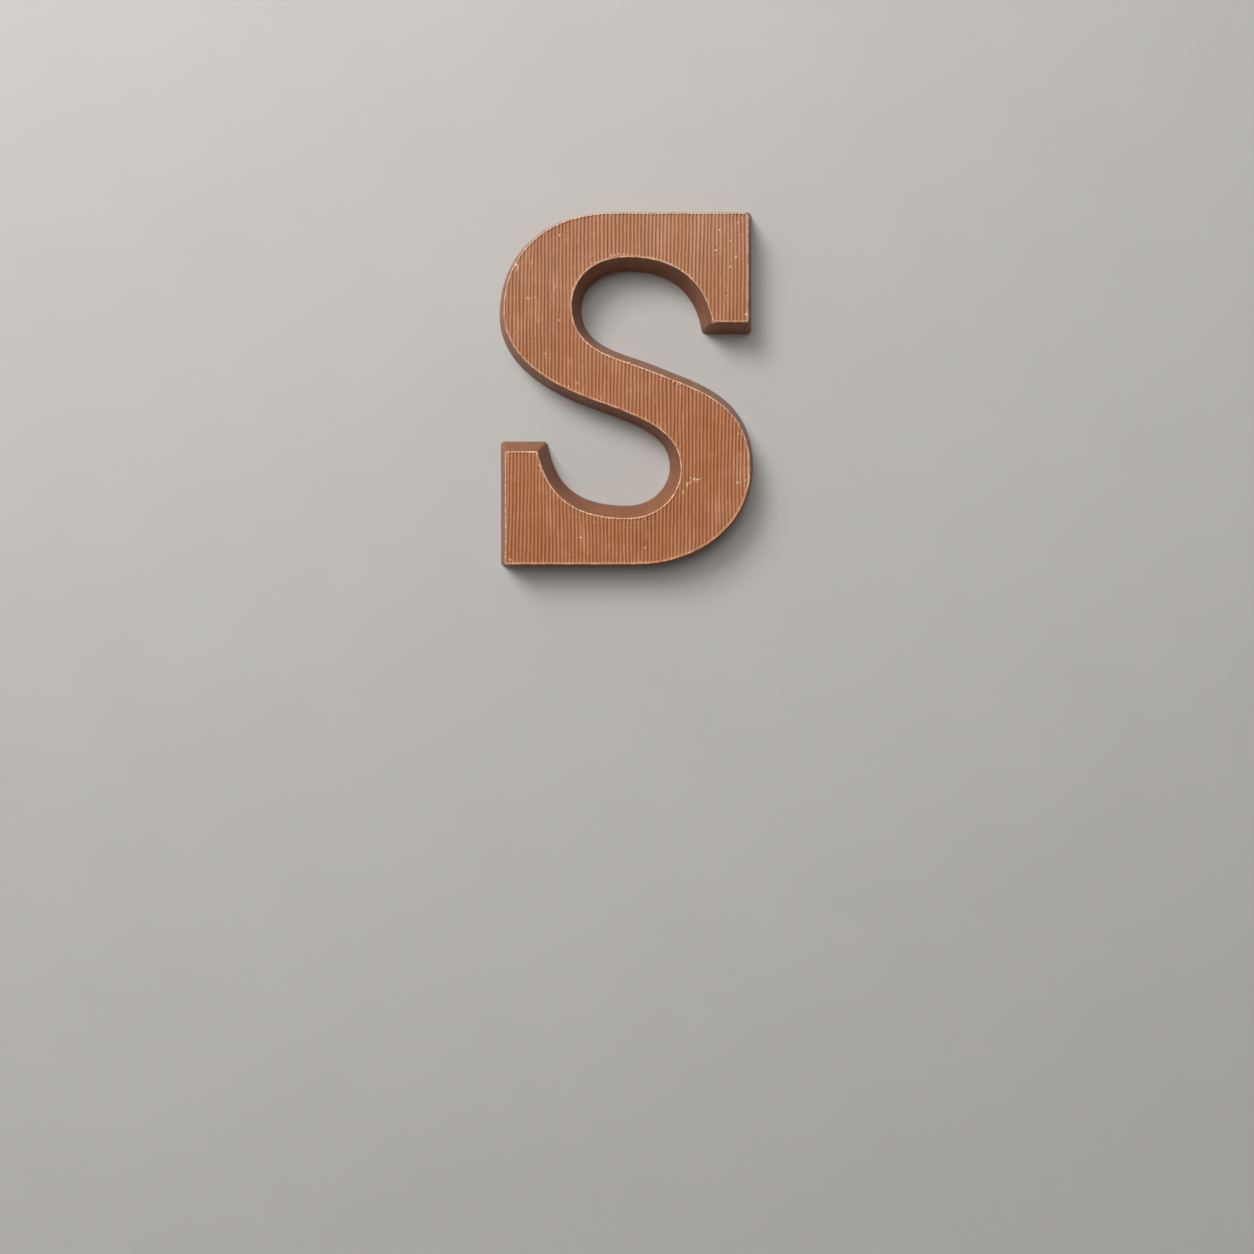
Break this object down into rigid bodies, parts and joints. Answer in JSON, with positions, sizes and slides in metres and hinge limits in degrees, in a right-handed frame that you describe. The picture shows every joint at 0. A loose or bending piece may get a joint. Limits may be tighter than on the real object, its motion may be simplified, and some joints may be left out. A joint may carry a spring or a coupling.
{
  "type": "moulded chocolate letter",
  "caption": "Flat moulded milk-chocolate letter S with leaning side walls, a narrow smooth rim and fine upright flutes across its face, lying on its flat back.",
  "frame": {"origin": "centre of the letter's bounding box, in the plane of its flat back", "axes": "+Z out of the fluted face, +Y to the top of the letter, +X to its right"},
  "size_m": [0.0786, 0.11, 0.0105],
  "materials": {
    "milk_chocolate": "satin milk chocolate, paler along the flute crests and the rim"
  },
  "bodies": {
    "root": {"chocolate_letter": "milk_chocolate"}
  },
  "joints": []
}
